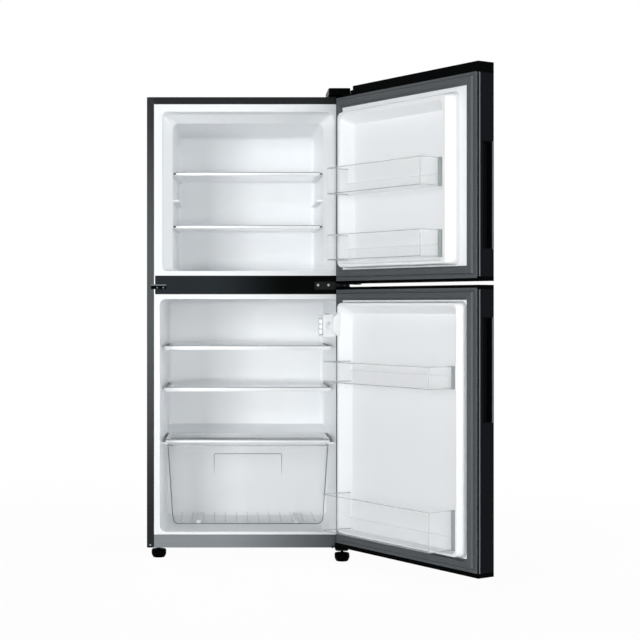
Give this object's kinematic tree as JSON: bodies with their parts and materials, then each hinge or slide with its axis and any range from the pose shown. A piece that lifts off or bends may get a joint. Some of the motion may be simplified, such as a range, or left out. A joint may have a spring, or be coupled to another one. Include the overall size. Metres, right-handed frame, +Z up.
{
  "type": "top freezer refrigerator",
  "caption": "Household refrigerator with a freezer on top: right-hinged doors with clear bins, glass shelves, crisper drawer, levelling feet and a compressor bay.",
  "frame": {"origin": "centre of the front left levelling foot's pad, on the floor", "axes": "+X to the right seen from the front, +Y from the front to the back, +Z up"},
  "size_m": [0.9332, 1.0725, 1.381],
  "materials": {
    "case_paint": "dark graphite, satin",
    "rail_grey": "dark grey moulded",
    "galvanised": "zinc coated sheet",
    "foam": "rigid polyurethane foam",
    "liner_white": "vacuum-formed white",
    "trim_white": "moulded white",
    "shelf_glass": "toughened, green edge",
    "clear_plastic": "clear polystyrene",
    "hinge_black": "black painted steel",
    "black_plastic": "fine texture",
    "screw_steel": "plated",
    "gasket_rubber": "soft grey PVC",
    "compressor_black": "gloss black",
    "copper": "drawn tube",
    "tube_steel": "bundy tube",
    "aluminium_sheet": "mill finish"
  },
  "bodies": {
    "cabinet": {"outer_case": "case_paint", "back_panel": "galvanised", "base_pan": "galvanised", "case_foam": "foam", "freezer_liner": "liner_white", "fridge_liner": "liner_white", "mullion_plate": "case_paint", "bottom_rail": "rail_grey", "top_hinge": "hinge_black", "top_hinge_cover": "black_plastic", "middle_hinge": "hinge_black", "bottom_hinge": "hinge_black", "left_hinge_cover": "black_plastic", "hinge_screws": "screw_steel", "control_box": "trim_white", "lamp_lens": "clear_plastic", "compressor_base": "galvanised", "compressor": "compressor_black", "compressor_mounts": "gasket_rubber", "terminal_box": "black_plastic", "drip_tray": "black_plastic", "refrigerant_pipe": "copper", "compressor_cover": "galvanised", "condenser_coil": "tube_steel", "freezer_evaporator": "aluminium_sheet", "fridge_evaporator": "aluminium_sheet"},
    "freezer_door": {"freezer_door_skin": "case_paint", "freezer_door_grip": "black_plastic", "freezer_door_end_caps": "black_plastic", "freezer_door_liner": "liner_white", "freezer_door_foam": "foam", "freezer_door_gasket": "gasket_rubber", "freezer_door_stop": "hinge_black"},
    "fridge_door": {"fridge_door_skin": "case_paint", "fridge_door_grip": "black_plastic", "fridge_door_end_caps": "black_plastic", "fridge_door_liner": "liner_white", "fridge_door_foam": "foam", "fridge_door_gasket": "gasket_rubber", "fridge_door_stop": "hinge_black"},
    "freezer_upper_bin": {"freezer_upper_bin": "clear_plastic"},
    "freezer_lower_bin": {"freezer_lower_bin": "clear_plastic"},
    "fridge_upper_bin": {"fridge_upper_bin": "clear_plastic"},
    "fridge_bottle_bin": {"fridge_bottle_bin": "clear_plastic"},
    "freezer_upper_shelf": {"freezer_upper_shelf_glass": "shelf_glass", "freezer_upper_shelf_trim": "trim_white"},
    "freezer_lower_shelf": {"freezer_lower_shelf_glass": "shelf_glass", "freezer_lower_shelf_trim": "trim_white"},
    "fridge_upper_shelf": {"fridge_upper_shelf_glass": "shelf_glass", "fridge_upper_shelf_trim": "trim_white"},
    "fridge_lower_shelf": {"fridge_lower_shelf_glass": "shelf_glass", "fridge_lower_shelf_trim": "trim_white"},
    "crisper_cover": {"crisper_cover_frame": "trim_white", "crisper_cover_glass": "shelf_glass"},
    "crisper_drawer": {"crisper_drawer": "clear_plastic"},
    "control_knob": {"control_knob": "trim_white"},
    "front_left_foot": {"front_left_foot": "black_plastic"},
    "front_right_foot": {"front_right_foot": "black_plastic"},
    "rear_left_roller": {"rear_left_roller": "black_plastic"},
    "rear_right_roller": {"rear_right_roller": "black_plastic"}
  },
  "joints": [
    {"name": "freezer_door_hinge", "type": "hinge", "parent": "cabinet", "child": "freezer_door", "pos_m": [0.5496, -0.0522, 1], "axis": [0, 0, 1], "range_deg": [-123.4, 4.6]},
    {"name": "fridge_door_hinge", "type": "hinge", "parent": "cabinet", "child": "fridge_door", "pos_m": [0.5496, -0.0522, 0.4], "axis": [0, 0, 1], "range_deg": [-123.4, 4.6]},
    {"name": "freezer_upper_bin_lift", "type": "slide", "parent": "freezer_door", "child": "freezer_upper_bin", "axis": [0, 0, 1], "range_m": [0, 0.05]},
    {"name": "freezer_lower_bin_lift", "type": "slide", "parent": "freezer_door", "child": "freezer_lower_bin", "axis": [0, 0, 1], "range_m": [0, 0.05]},
    {"name": "fridge_upper_bin_lift", "type": "slide", "parent": "fridge_door", "child": "fridge_upper_bin", "axis": [0, 0, 1], "range_m": [0, 0.05]},
    {"name": "fridge_bottle_bin_lift", "type": "slide", "parent": "fridge_door", "child": "fridge_bottle_bin", "axis": [0, 0, 1], "range_m": [0, 0.05]},
    {"name": "freezer_upper_shelf_slide", "type": "slide", "parent": "cabinet", "child": "freezer_upper_shelf", "axis": [0, -1, 0], "range_m": [0, 0.17]},
    {"name": "freezer_lower_shelf_slide", "type": "slide", "parent": "cabinet", "child": "freezer_lower_shelf", "axis": [0, -1, 0], "range_m": [0, 0.17]},
    {"name": "fridge_upper_shelf_slide", "type": "slide", "parent": "cabinet", "child": "fridge_upper_shelf", "axis": [0, -1, 0], "range_m": [0, 0.12]},
    {"name": "fridge_lower_shelf_slide", "type": "slide", "parent": "cabinet", "child": "fridge_lower_shelf", "axis": [0, -1, 0], "range_m": [0, 0.12]},
    {"name": "crisper_cover_slide", "type": "slide", "parent": "cabinet", "child": "crisper_cover", "axis": [0, -1, 0], "range_m": [0, 0.12]},
    {"name": "crisper_drawer_slide", "type": "slide", "parent": "cabinet", "child": "crisper_drawer", "axis": [0, -1, 0], "range_m": [0, 0.17]},
    {"name": "control_knob_turn", "type": "hinge", "parent": "cabinet", "child": "control_knob", "pos_m": [0.5084, 0.05, 0.6845], "axis": [0, -1, 0], "range_deg": [-250, 0]},
    {"name": "front_left_foot_screw", "type": "hinge", "parent": "cabinet", "child": "front_left_foot", "pos_m": [0, 0, 0.025], "axis": [0, 0, 1], "continuous": true},
    {"name": "front_right_foot_screw", "type": "hinge", "parent": "cabinet", "child": "front_right_foot", "pos_m": [0.5382, -0.068, 0.025], "axis": [0, 0, 1], "continuous": true},
    {"name": "rear_left_roller_spin", "type": "hinge", "parent": "cabinet", "child": "rear_left_roller", "pos_m": [0.0104, 0.46, 0.014], "axis": [1, 0, 0], "continuous": true},
    {"name": "rear_right_roller_spin", "type": "hinge", "parent": "cabinet", "child": "rear_right_roller", "pos_m": [0.5204, 0.46, 0.014], "axis": [1, 0, 0], "continuous": true}
  ]
}
